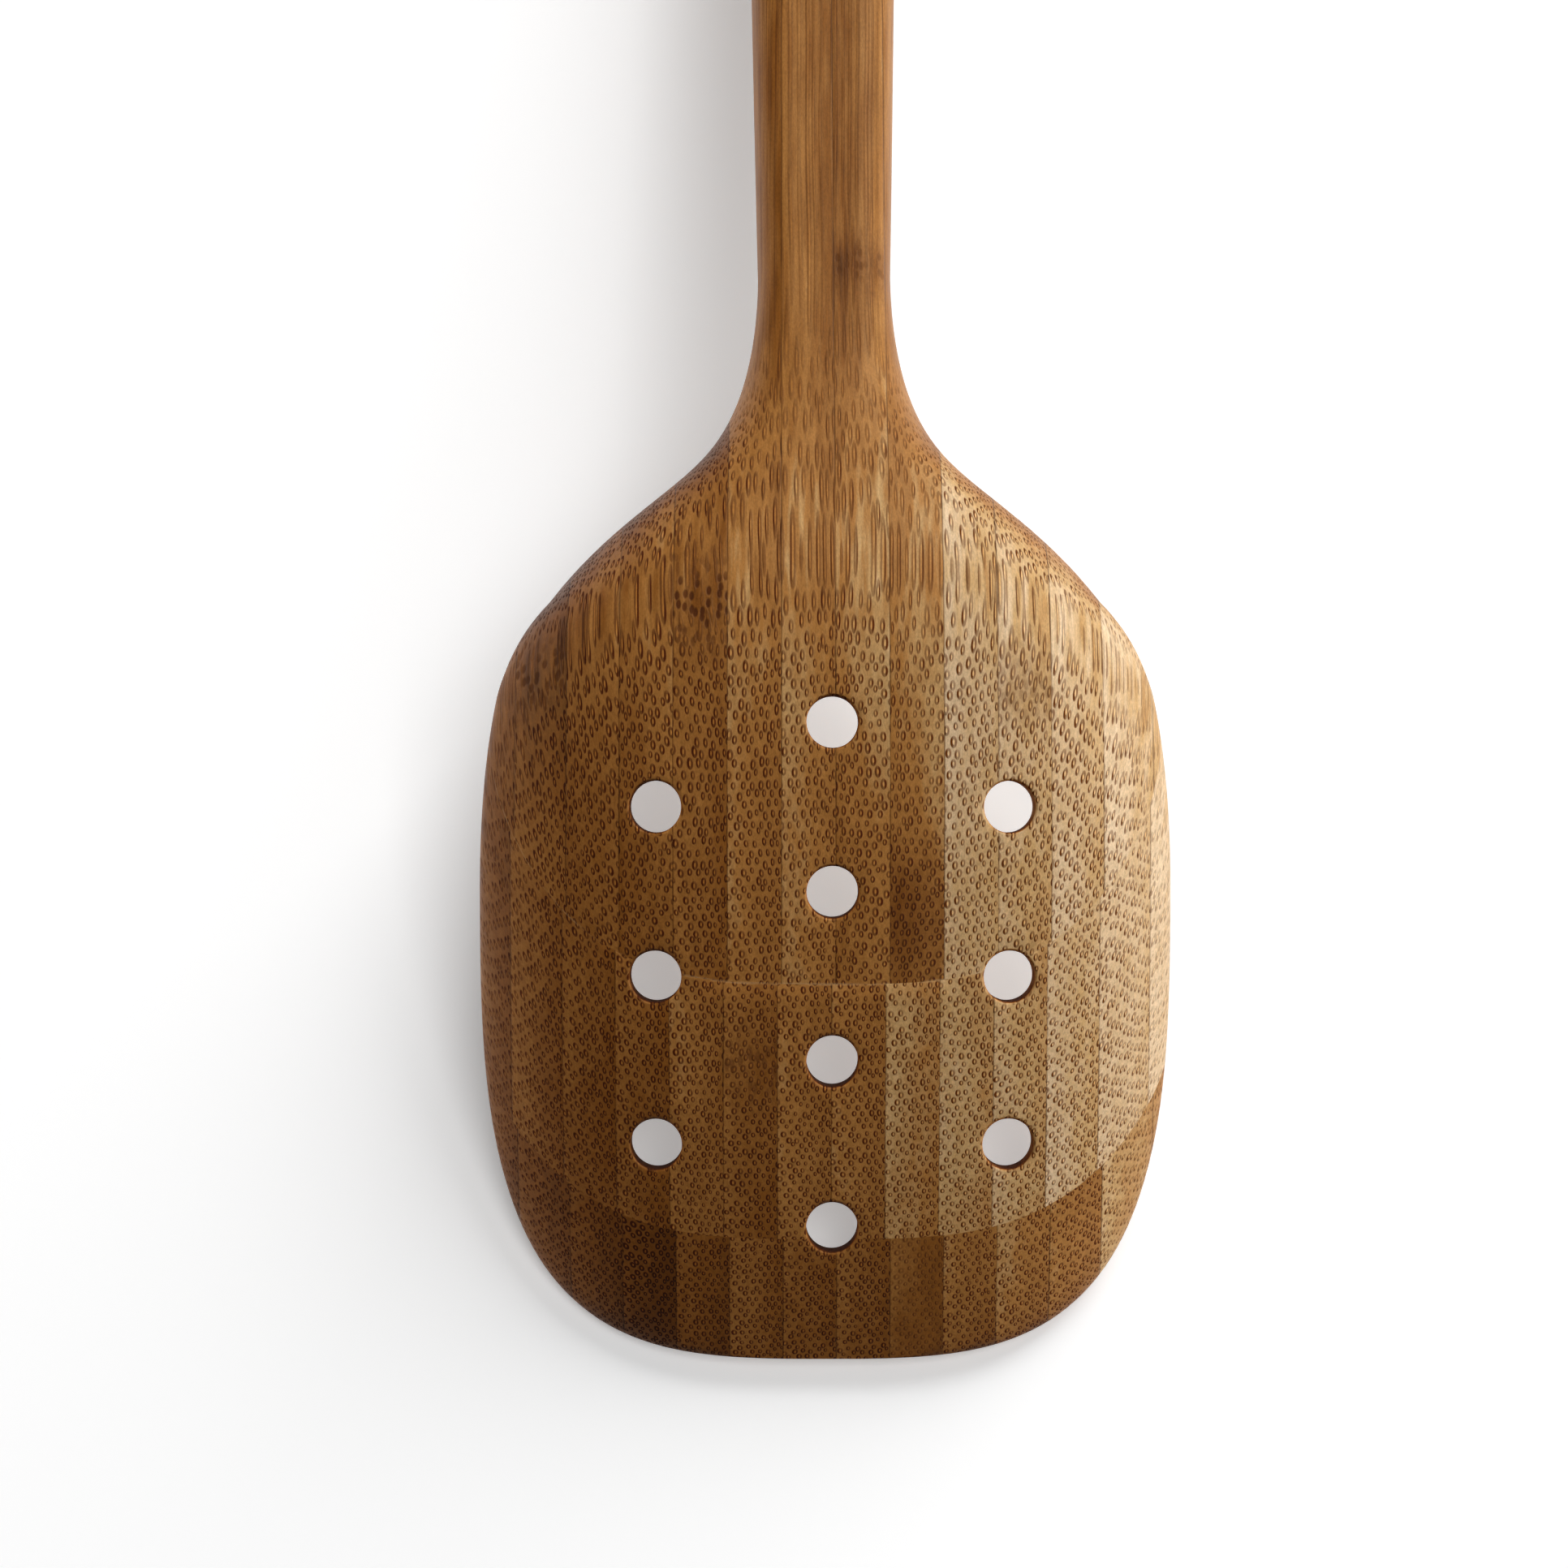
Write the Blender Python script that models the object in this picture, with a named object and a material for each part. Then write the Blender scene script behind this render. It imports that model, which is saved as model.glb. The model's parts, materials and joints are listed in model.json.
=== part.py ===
"""Perforated bamboo serving spoon: a block of glued bamboo strips, carved and drilled.

Model frame: +Y runs along the grain to the handle end, +Z is the back of the block, and the
origin is the crest, where the back of the head turns into the neck. The finished spoon is then
laid on a table, back up, on its tip and its handle end.
"""
from math import ceil, cos, floor, pi, radians, sin

import bmesh
import bpy
import numpy as np
from mathutils import Matrix, Vector

# Outline, in metres, measured along the back from the tip
HEAD_WIDTH = 0.0680
TIP_LENGTH = 0.0458
SHOULDER_LENGTH = 0.0695
NECK_WIDTH = 0.0134
HANDLE_LENGTH = 0.1940
HANDLE_END_WIDTH = 0.0180
HANDLE_END_ROUND = 0.0090
# Shape of the outline's curves
TIP_FULLNESS = 3.16
TIP_BLUNTNESS = 4.46
SHOULDER_PULL = 0.842
NECK_PULL = 0.528

# Side profile of the back: straight handle, knee, head arc
KNEE_FROM_TIP = 0.0674
KNEE_RADIUS = 0.0380
KNEE_ANGLE = 20.2
HEAD_RADIUS = 0.1500
NECK_DIP = 0.0025

# Cross-section
BOWL_DROP = 0.0095
BOWL_POWER = 3.3
WALL = 0.0060
TIP_WALL = 0.0045
HANDLE_THICKNESS = 0.0100
FLAT_SHARE = 0.45
EDGE_POWER = 2.6
TIP_EDGE = 0.0070
TIP_EDGE_POWER = 4.0
END_EDGE = 0.0054
# Parts of the shoulder, from the widest line to the neck, over which the section changes
THICKENING = (0.35, 0.90)
BOWL_FADING = (0.52, 0.95)
NECK_DIPPING = (0.45, 0.95)

# Drain holes, drilled side by side along one direction
HOLE_DIAMETER = 0.0050
HOLE_FROM_TIP = 0.0634
HOLE_ROW_PITCH = 0.00815
HOLE_COLUMN_SHARE = 0.25
HOLE_ROWS = 7
HOLES_FROM_SEAM = 0.0003
DRILL_LEAN = 25.0

# Glued block
STRIPS_ACROSS = 13.08
NECK_SEAM_INSET = 0.0006
MIDDLE_PLY_SHIFT = 0.0005
FRONT_PLY_SHIFT = 0.00105
PLY_THICKNESS = 0.0150
GLUE_LINE = 0.0003
PLY_NAMES = ("back_ply", "middle_ply", "front_ply")
PLY_COLOURS = ((0.50, 0.29, 0.12), (0.44, 0.25, 0.10), (0.36, 0.19, 0.07))
EDGE_STRIP_SHARE = 0.28
PLANING_ALLOWANCE = 0.0020
CARVING_DUST = 4.0e-9

# Fineness of the carved form
TIP_STEPS = 16
TIP_CROWDING = 2.4
SHOULDER_STEPS = 20
HANDLE_STEPS = 8
END_STEPS = 6
END_CAP_SHARE = 0.002
EDGE_STEPS = 5
DRILL_SIDES = 24
SMOOTH_BELOW = 35.0

# Derived widths: hole columns, strips, and the back ply's seams counted from the one at the handle's edge
HOLE_COLUMN_PITCH = HOLE_COLUMN_SHARE * HEAD_WIDTH
STRIP_WIDTH = HEAD_WIDTH / STRIPS_ACROSS
BACK_PLY_SHIFT = 0.5 * NECK_WIDTH - NECK_SEAM_INSET - STRIP_WIDTH
PLY_SHIFTS = (BACK_PLY_SHIFT, MIDDLE_PLY_SHIFT, FRONT_PLY_SHIFT)
PATTERN_SHIFT = BACK_PLY_SHIFT - HOLES_FROM_SEAM
# Derived lengths along the back
NECK_AT = TIP_LENGTH + SHOULDER_LENGTH
END_AT = NECK_AT + HANDLE_LENGTH
KNEE_LENGTH = KNEE_RADIUS * radians(KNEE_ANGLE)
CREST_AT = KNEE_FROM_TIP + KNEE_LENGTH


def ease(start, end, at):
    """Smooth step from 0 at start to 1 at end."""
    share = min(max((at - start) / (end - start), 0.0), 1.0)
    return share * share * (3.0 - 2.0 * share)


def round_off(distance, length, power):
    """1 inside, falling to 0 at an end like a superellipse over the given length."""
    share = min(max(1.0 - distance / length, 0.0), 1.0)
    return (1.0 - share ** power) ** (1.0 / power)


def shoulder_ease(shares, at):
    """Smooth step between two places on the shoulder."""
    return ease(TIP_LENGTH + shares[0] * SHOULDER_LENGTH, TIP_LENGTH + shares[1] * SHOULDER_LENGTH, at)


def spine(at):
    """Point (y, z) on the back at a distance from the tip, and the slope of the back there."""
    past = CREST_AT - at
    if past <= 0.0:
        return -past, 0.0, 0.0
    if past <= KNEE_LENGTH:
        turn = past / KNEE_RADIUS
        return -KNEE_RADIUS * sin(turn), -KNEE_RADIUS * (1.0 - cos(turn)), turn
    knee = radians(KNEE_ANGLE)
    turn = knee + (past - KNEE_LENGTH) / HEAD_RADIUS
    y = -KNEE_RADIUS * sin(knee) - HEAD_RADIUS * (sin(turn) - sin(knee))
    z = -KNEE_RADIUS * (1.0 - cos(knee)) - HEAD_RADIUS * (cos(knee) - cos(turn))
    return y, z, turn


def shoulder_half_width(share):
    """Half width on the S-curve from the widest line (share 0) to the neck (share 1)."""
    low, high = 0.0, 1.0
    for _ in range(40):
        t = 0.5 * (low + high)
        near = 3.0 * SHOULDER_PULL * t * (1.0 - t) ** 2
        far = 3.0 * (1.0 - NECK_PULL) * t * t * (1.0 - t)
        if near + far + t ** 3 < share:
            low = t
        else:
            high = t
    return 0.5 * HEAD_WIDTH - 0.5 * (HEAD_WIDTH - NECK_WIDTH) * t * t * (3.0 - 2.0 * t)


def half_width(at):
    """Half width of the outline at a distance from the tip."""
    if at < TIP_LENGTH:
        share = 1.0 - at / TIP_LENGTH
        return 0.5 * HEAD_WIDTH * (1.0 - share ** TIP_FULLNESS) ** (1.0 / TIP_BLUNTNESS)
    if at < NECK_AT:
        return shoulder_half_width((at - TIP_LENGTH) / SHOULDER_LENGTH)
    share = (at - NECK_AT) / HANDLE_LENGTH
    width = NECK_WIDTH + (HANDLE_END_WIDTH - NECK_WIDTH) * (1.0 - (1.0 - share) ** 2)
    return 0.5 * width * round_off(END_AT - at, HANDLE_END_ROUND, EDGE_POWER)


def thickness(at):
    """Thickness on the centre line at a distance from the tip."""
    wall = TIP_WALL + (WALL - TIP_WALL) * ease(0.0, TIP_LENGTH, at)
    full = wall + (HANDLE_THICKNESS - wall) * shoulder_ease(THICKENING, at)
    return full * round_off(at, TIP_EDGE, TIP_EDGE_POWER) * round_off(END_AT - at, END_EDGE, EDGE_POWER)


def section(at, shares):
    """Closed section across the spoon: (x, offset from the spine) for the back, then the front."""
    half = half_width(at)
    thick = thickness(at)
    spread = 0.5 * HEAD_WIDTH if at < TIP_LENGTH else half
    drop = BOWL_DROP * (1.0 - shoulder_ease(BOWL_FADING, at))
    dip = NECK_DIP * shoulder_ease(NECK_DIPPING, at)
    back = []
    front = []
    for share in shares:
        x = share * half
        middle = -dip - drop * (abs(x) / spread) ** BOWL_POWER - 0.5 * thick
        edge = max(abs(share) - FLAT_SHARE, 0.0) / (1.0 - FLAT_SHARE)
        rise = 0.5 * thick * max(1.0 - edge ** EDGE_POWER, 0.0) ** (1.0 / EDGE_POWER)
        back.append((x, middle + rise))
        front.append((x, middle - rise))
    return back + front[-2:0:-1]


def section_shares():
    """Places across the half width: even on the flat, closing up towards the rounded edge."""
    angles = [0.5 * pi * step / EDGE_STEPS for step in range(1, EDGE_STEPS + 1)]
    edge = [FLAT_SHARE + (1.0 - FLAT_SHARE) * sin(angle) for angle in angles]
    half = [FLAT_SHARE / 3.0, FLAT_SHARE] + edge
    return [-share for share in reversed(half)] + half


def stations():
    """Distances from the tip at which the spoon is sectioned."""
    tip = [TIP_LENGTH * (step / TIP_STEPS) ** TIP_CROWDING for step in range(1, TIP_STEPS + 1)]
    shoulder = [TIP_LENGTH + SHOULDER_LENGTH * step / SHOULDER_STEPS for step in range(1, SHOULDER_STEPS + 1)]
    straight = HANDLE_LENGTH - HANDLE_END_ROUND
    handle = [NECK_AT + straight * step / HANDLE_STEPS for step in range(1, HANDLE_STEPS + 1)]
    end = [END_AT - HANDLE_END_ROUND * cos(0.5 * pi * step / END_STEPS) ** 2 for step in range(1, END_STEPS)]
    end.append(END_AT - END_CAP_SHARE * HANDLE_END_ROUND)
    return tip + shoulder + handle + end


def new_object(name, mesh, parent):
    """Object for a mesh, placed with the laid-down spoon."""
    obj = bpy.data.objects.new(name, mesh)
    bpy.context.scene.collection.objects.link(obj)
    obj.parent = parent
    return obj


def hide_cutter(obj):
    """Keep a cutting body out of the finished part."""
    obj.hide_render = True
    obj.display_type = 'WIRE'


def mesh_from(name, build):
    """Mesh made by a bmesh build function, with its faces turned outwards."""
    bm = bmesh.new()
    build(bm)
    bmesh.ops.recalc_face_normals(bm, faces=bm.faces)
    mesh = bpy.data.meshes.new(name)
    bm.to_mesh(mesh)
    bm.free()
    return mesh


def build_form(bm):
    """Loft the carved spoon through its sections."""
    rings = []
    shares = section_shares()
    for at in stations():
        y, z, turn = spine(at)
        loop = section(at, shares)
        rings.append([bm.verts.new((x, y - n * sin(turn), z + n * cos(turn))) for x, n in loop])
    for ring, following in zip(rings, rings[1:]):
        for index in range(len(ring)):
            nxt = (index + 1) % len(ring)
            bm.faces.new((ring[index], ring[nxt], following[nxt], following[index]))
    bm.faces.new(rings[0])
    bm.faces.new(rings[-1])


def hole_centres():
    """Hole centres as (x, distance along the drilled plane from the first row)."""
    centres = []
    for row in range(HOLE_ROWS):
        along = -row * HOLE_ROW_PITCH
        columns = (0,) if row % 2 == 0 else (-1, 1)
        for column in columns:
            centres.append((PATTERN_SHIFT + column * HOLE_COLUMN_PITCH, along))
    return centres


def build_drills(bm):
    """One long drill for each drain hole, all leaning alike."""
    lean = radians(DRILL_LEAN)
    y, z, _ = spine(HOLE_FROM_TIP)
    reach = 2.0 * (BOWL_DROP + WALL) + HOLE_ROWS * HOLE_ROW_PITCH
    for x, along in hole_centres():
        place = Matrix.Translation((x, y + along * cos(lean), z + along * sin(lean)))
        turned = place @ Matrix.Rotation(lean, 4, 'X')
        bmesh.ops.create_cone(bm, cap_ends=True, segments=DRILL_SIDES, radius1=0.5 * HOLE_DIAMETER,
                              radius2=0.5 * HOLE_DIAMETER, depth=reach, matrix=turned)


def cut(obj, tool, operation):
    """Mesh of an object after one exact cut."""
    modifier = obj.modifiers.new("cut", 'BOOLEAN')
    modifier.operation = operation
    modifier.solver = 'EXACT'
    modifier.object = tool
    depsgraph = bpy.context.evaluated_depsgraph_get()
    result = bpy.data.meshes.new_from_object(obj.evaluated_get(depsgraph))
    obj.modifiers.remove(modifier)
    return result


def split_bodies(mesh):
    """Separate bodies of a mesh, from the tip to the handle end, without carving dust."""
    bm = bmesh.new()
    bm.from_mesh(mesh)
    bm.verts.ensure_lookup_table()
    seen = set()
    bodies = []
    for start in bm.verts:
        if start.index in seen:
            continue
        group = [start]
        seen.add(start.index)
        for vert in group:
            for edge in vert.link_edges:
                other = edge.other_vert(vert)
                if other.index not in seen:
                    seen.add(other.index)
                    group.append(other)
        body = bm.copy()
        body.verts.ensure_lookup_table()
        keep = {vert.index for vert in group}
        bmesh.ops.delete(body, geom=[v for v in body.verts if v.index not in keep], context='VERTS')
        if body.calc_volume() > CARVING_DUST:
            middle = sum(vert.co.y for vert in group) / len(group)
            part = bpy.data.meshes.new(mesh.name)
            body.to_mesh(part)
            bodies.append((middle, part))
        body.free()
    bm.free()
    return [part for _, part in sorted(bodies, key=lambda entry: entry[0])]


def strip_bounds(shift, left, right):
    """Strips of one ply between its left and right limits, as (name, left edge, right edge)."""
    first = ceil((left - shift) / STRIP_WIDTH)
    last = floor((right - shift) / STRIP_WIDTH)
    if shift + first * STRIP_WIDTH - left < EDGE_STRIP_SHARE * STRIP_WIDTH:
        first += 1
    if right - shift - last * STRIP_WIDTH < EDGE_STRIP_SHARE * STRIP_WIDTH:
        last -= 1
    strips = []
    for count in range(first - 1, last + 1):
        low = left - STRIP_WIDTH if count < first else shift + count * STRIP_WIDTH
        high = right + STRIP_WIDTH if count == last else shift + (count + 1) * STRIP_WIDTH
        name = "right_" + str(count + 1) if count >= 0 else "left_" + str(-count)
        strips.append((name, low, high))
    return strips


def bar_builder(low, high):
    """Build function for a square-cut bar between two corners."""
    size = Vector(high) - Vector(low)
    middle = 0.5 * (Vector(high) + Vector(low))
    matrix = Matrix.Translation(middle) @ Matrix.Diagonal((size.x, size.y, size.z, 1.0))
    return lambda bm: bmesh.ops.create_cube(bm, size=1.0, matrix=matrix)


def resting_angle(points):
    """Turn about X that brings the tip and the handle end to one level."""
    head = points[points[:, 1] < 0.0]
    handle = points[points[:, 1] >= 0.0]
    low, high = -0.5, 0.5
    for _ in range(60):
        angle = 0.5 * (low + high)
        head_low = (head[:, 1] * sin(angle) + head[:, 2] * cos(angle)).min()
        handle_low = (handle[:, 1] * sin(angle) + handle[:, 2] * cos(angle)).min()
        if handle_low > head_low:
            high = angle
        else:
            low = angle
    return angle


def bamboo(name, colour):
    """Plain bamboo colour for one ply."""
    material = bpy.data.materials.new(name)
    material.use_nodes = True
    shader = material.node_tree.nodes["Principled BSDF"]
    shader.inputs["Base Color"].default_value = (*colour, 1.0)
    shader.inputs["Roughness"].default_value = 0.5
    return material


def main():
    for obj in list(bpy.data.objects):
        bpy.data.objects.remove(obj, do_unlink=True)

    laid = bpy.data.objects.new("laid_on_table", None)
    bpy.context.scene.collection.objects.link(laid)

    form_mesh = mesh_from("carved_form", build_form)
    points = np.array([vert.co[:] for vert in form_mesh.vertices])
    form = new_object("carved_form", form_mesh, laid)
    hide_cutter(form)
    drills = new_object("drills", mesh_from("drills", build_drills), laid)
    hide_cutter(drills)
    form.data = cut(form, drills, 'DIFFERENCE')

    angle = resting_angle(points)
    along = points[:, 1] * cos(angle) - points[:, 2] * sin(angle)
    height = points[:, 1] * sin(angle) + points[:, 2] * cos(angle)
    laid.rotation_euler = (angle, 0.0, 0.0)
    laid.location = (0.0, -0.5 * (along.min() + along.max()), -height.min())

    plies = ceil(-points[:, 2].min() / PLY_THICKNESS)
    gap = 0.5 * GLUE_LINE
    for ply in range(plies):
        kind = min(ply, len(PLY_NAMES) - 1)
        top = -ply * PLY_THICKNESS
        bottom = top - PLY_THICKNESS
        name = PLY_NAMES[kind] if ply == kind else PLY_NAMES[kind] + "_" + str(ply)
        material = bamboo("bamboo_" + name, PLY_COLOURS[kind])
        inside = points[(points[:, 2] <= top) & (points[:, 2] >= bottom)]
        roof = PLANING_ALLOWANCE if ply == 0 else top - gap
        for side, left, right in strip_bounds(PLY_SHIFTS[kind], inside[:, 0].min(), inside[:, 0].max()):
            low = (left + gap, points[:, 1].min() - STRIP_WIDTH, bottom + gap)
            high = (right - gap, points[:, 1].max() + STRIP_WIDTH, roof)
            bar = new_object("bar", mesh_from("bar", bar_builder(low, high)), laid)
            carved = cut(bar, form, 'INTERSECT')
            bpy.data.objects.remove(bar, do_unlink=True)
            bodies = split_bodies(carved)
            for place, mesh in enumerate(bodies):
                label = name + "_" + side
                if place > 0:
                    label = label + "_part_" + str(place + 1)
                mesh.name = label
                mesh.materials.clear()
                mesh.materials.append(material)
                mesh.shade_smooth()
                mesh.set_sharp_from_angle(angle=radians(SMOOTH_BELOW))
                new_object(label, mesh, laid)


main()
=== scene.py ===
"""Looks of the perforated bamboo serving spoon: carved strips, bamboo grain, light and camera.

Everything is shaped in the frame of the glued block, as in the part's source: +Y runs along the
grain to the handle end, +Z is the back of the block, and the origin is the crest of the back.
"""
import json
from math import atan2, cos, pi, radians, sin

import bmesh
import bpy
from mathutils import Matrix, Vector
from mathutils.bvhtree import BVHTree


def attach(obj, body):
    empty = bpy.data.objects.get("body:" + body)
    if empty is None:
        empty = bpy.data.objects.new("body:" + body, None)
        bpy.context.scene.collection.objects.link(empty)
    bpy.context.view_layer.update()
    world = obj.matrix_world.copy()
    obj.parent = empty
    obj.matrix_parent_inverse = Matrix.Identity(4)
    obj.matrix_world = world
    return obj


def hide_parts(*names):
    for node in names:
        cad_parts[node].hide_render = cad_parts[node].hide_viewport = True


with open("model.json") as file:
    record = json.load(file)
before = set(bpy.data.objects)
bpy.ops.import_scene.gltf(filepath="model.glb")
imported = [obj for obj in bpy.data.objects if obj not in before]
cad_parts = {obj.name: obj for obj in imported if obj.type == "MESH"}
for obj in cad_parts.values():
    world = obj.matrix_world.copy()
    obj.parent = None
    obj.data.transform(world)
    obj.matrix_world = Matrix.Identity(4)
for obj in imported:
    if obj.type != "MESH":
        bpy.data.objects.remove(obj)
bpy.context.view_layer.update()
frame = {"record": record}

# Outline, in metres, measured along the back from the tip
HEAD_WIDTH = 0.0680
TIP_LENGTH = 0.0458
SHOULDER_LENGTH = 0.0695
NECK_WIDTH = 0.0134
HANDLE_LENGTH = 0.1940
HANDLE_END_WIDTH = 0.0180
HANDLE_END_ROUND = 0.0090
TIP_FULLNESS = 3.16
TIP_BLUNTNESS = 4.46
SHOULDER_PULL = 0.842
NECK_PULL = 0.528

# Side profile of the back: straight handle, knee, head arc
KNEE_FROM_TIP = 0.0674
KNEE_RADIUS = 0.0380
KNEE_ANGLE = 20.2
HEAD_RADIUS = 0.1500
NECK_DIP = 0.0025

# Cross-section
BOWL_DROP = 0.0095
BOWL_POWER = 3.3
WALL = 0.0060
TIP_WALL = 0.0045
HANDLE_THICKNESS = 0.0100
FLAT_SHARE = 0.45
EDGE_POWER = 2.6
TIP_EDGE = 0.0070
TIP_EDGE_POWER = 3.0
END_EDGE = 0.0054
THICKENING = (0.35, 0.90)
BOWL_FADING = (0.52, 0.95)
NECK_DIPPING = (0.45, 0.95)

# Drain holes
HOLE_DIAMETER = 0.0050
HOLE_FROM_TIP = 0.0634
HOLE_ROW_PITCH = 0.00815
HOLE_COLUMN_PITCH = 0.0170
HOLE_ROWS = 7
HOLE_SHIFT = 0.0006
DRILL_LEAN = 25.0
HOLE_EASE = 0.00030
DRILL_REACH = 0.05
DRILL_LEAD = (0.002, 0.00002)
DRILLED_MARGIN = 0.4
DRILLED_TILT = 0.5

# Glued block
BLOCK_ENDS = (-0.2, 0.3)
MOUNT_AT = (-0.0015, 0.10)
STRIP_WIDTH = 0.0051988
PLY_THICKNESS = 0.0150
PLIES = {"back_ply": (0.0009012, 7, 6), "middle_ply": (0.0005, 7, 7), "front_ply": (0.00105, 7, 6)}

# The grain counts in millimetres
MM = 1000.0

# Fineness of the carved form
TIP_STEPS = 44
TIP_CROWDING = 2.4
SHOULDER_STEPS = 72
SHOULDER_HALVINGS = 40
HANDLE_STEPS = 60
END_STEPS = 12
END_CAP_SHARE = 0.002
FLAT_STEPS = 11
EDGE_STEPS = 15
HOLE_SIDES = 64
EASE_STEPS = 5
SMOOTH_BELOW = 34.0

# Bamboo: rows of fibre bundles across a strip, and their colours
GRAIN_INPUTS = ("Seed", "Left Seam", "Right Seam", "Dense Left", "Tone", "Painted Tip Shade", "Handle Tone", "Figure",
                "Node At", "Node Reach", "Node Tone", "Node Pits")
ROWS_PER_MM = 1.38
ROW_CLOSING = 0.36
ROW_FLATNESS = 1.26
ROW_SLANT = 42.0
ROW_SCATTER = 0.38
BUNDLE_WIDE = 0.42
BUNDLE_DEEP = 0.34
BUNDLE_SIZES = (0.75, 1.16)
LEAST_FAR = 0.05
SLIT_SHAPE = (7.5, 3.6)
SHEATH_INNER = (0.62, 1.05)
SHEATH_OUTER = (0.84, 1.08)
CORE_EDGE = (0.55, 1.0)
BEAD_EDGE = (0.62, 1.06)
SHEATH_DARKNESS = 0.60
SHEATH_SIDES = 0.50
# Painted shade: each bundle's sheath is darker on its left side, as if lit from the right
SHEATH_LEFT_PAINTED_SHADE = -0.25
SHEATH_PER_TONE = (0.25, 0.92)
CORE_SHARE = 0.9

# How the figure changes with the cut: along or across the grain, on flanks and on the handle
CROSSING_SLOPES = (0.03, 0.30)
END_GRAIN_SLOPES = (0.60, 0.96)
# Painted shade: surfaces that face the handle end darken over these slopes
SHOULDER_SHADE_SLOPES = (0.22, 0.60)
FLANK_SLOPES = (0.45, 0.90)
HANDLE_FROM = (-4.0, 30.0)
# Painted shade: strips darken towards the tip over this stretch, by each strip's Painted Tip Shade
TIP_SHADE_FROM = (-30.0, -12.0)
FIGURE_DRAWN = (0.80, 1.10)
FIGURE_OUTWARD = (0.90, 1.10)
FIGURE_CROSSING = (0.72, 1.0)
FIGURE_FLANK = (1.0, 0.45)
FIGURE_HANDLE = (1.0, 0.5)
FIGURE_NEAR_NODE = 0.3

# Lumps per millimetre across, along and through the strip, of each kind of unevenness
DRIFT_GRAIN = (0.12, 0.035, 0.12)
KNOT_GRAIN = (0.6, 0.30, 0.6)
CLOUD_GRAIN = (0.25, 0.04, 0.10)
FIBRE_GRAIN = (4.5, 0.10, 4.5)
BAND_GRAIN = (1.2, 0.10, 1.0)
SAND_GRAIN = (7.0, 2.4, 7.0)
SAND_ROUGHNESS = 0.7
NODE_EDGE_GRAIN = (0.5, 0.2)
NODE_EDGE_WANDER = 6.0
NODE_LOOSENING = 0.8
NODE_DARKENING = 0.25
PIT_GRAIN = (1.25, 0.62)
PIT_EDGE = (0.20, 0.40)
PIT_DARKNESS = 0.85
PIT_CLEARING = -0.6
BROKEN_GRAIN = (0.4, 0.12)
BROKEN_EDGE = (0.38, 0.62)
SEAM_EDGE = (0.03, 0.11)
SEAM_SHADE = (0.45, 0.35)
GLUE_EDGE = (0.02, 0.10)
GLUE_SHADE = 0.3
GLUE_STARTS = -1.0

# Tone: how much each cause darkens the ground
TONE_ACROSS = 0.22
CLOUD_TONE = 0.4
ALONG_TONE = (0.06, 0.0)
BAND_TONE = (-1.1, -0.3)
BAND_ON_HANDLE = (1.0, 0.7)
END_GRAIN_TONE = 0.58
SHOULDER_PAINTED_SHADE = 0.46
FIBRE_LIFT = 0.55
SAND_LIFT = 0.85
# The front ply is darker, partly its own tone and partly painted shade at the tip
PLY_TONES = {"back_ply": 0.57, "middle_ply": 0.57, "front_ply": 0.83}
# Painted shade: each strip's tone darkens steadily towards the left side, away from the light
LEFTWARD_PAINTED_SHADE = 0.0135
GROUND = ((0.00, (0.76, 0.57, 0.370, 1.0)), (0.35, (0.58, 0.36, 0.155, 1.0)),
          (0.60, (0.415, 0.190, 0.050, 1.0)), (1.00, (0.245, 0.090, 0.015, 1.0)),
          (1.30, (0.130, 0.042, 0.006, 1.0)))
DARKEST_TONE = 1.30
USUAL_DARKEST = 0.98
# Pale slit of each bundle: partly its own paler colour, partly a painted highlight
CORE_TINT_AND_HIGHLIGHT = (1.36, 1.24, 1.00, 1.0)
SHEATH_TINT = (0.20, 0.07, 0.012, 1.0)
NODE_TINT = (0.46, 0.34, 0.26, 1.0)
SEAM_TINT = (0.30, 0.24, 0.20, 1.0)
GLUE_COLOUR = (0.62, 0.42, 0.22, 1.0)
DRILLED_TINT = (0.95, 0.72, 0.48, 1.0)
SPECULAR = 0.2
SPECULAR_TINT = (1.0, 0.85, 0.65, 1.0)
ROUGHNESS = 0.42
SHEATH_ROUGHNESS = 0.40
FIBRE_ROUGHNESS = 0.15
DRILLED_ROUGHNESS = 0.5
PIT_HEIGHT = -2.0
SAND_HEIGHT = 0.35
FIBRE_HEIGHT = 0.3
SEAM_HEIGHT = -0.8
BUMP_STRENGTH = 0.45
BUMP_DISTANCE = 0.00005
SEED_PER_PLY = 7.31
SEED_PER_METRE = 2900.0

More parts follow.
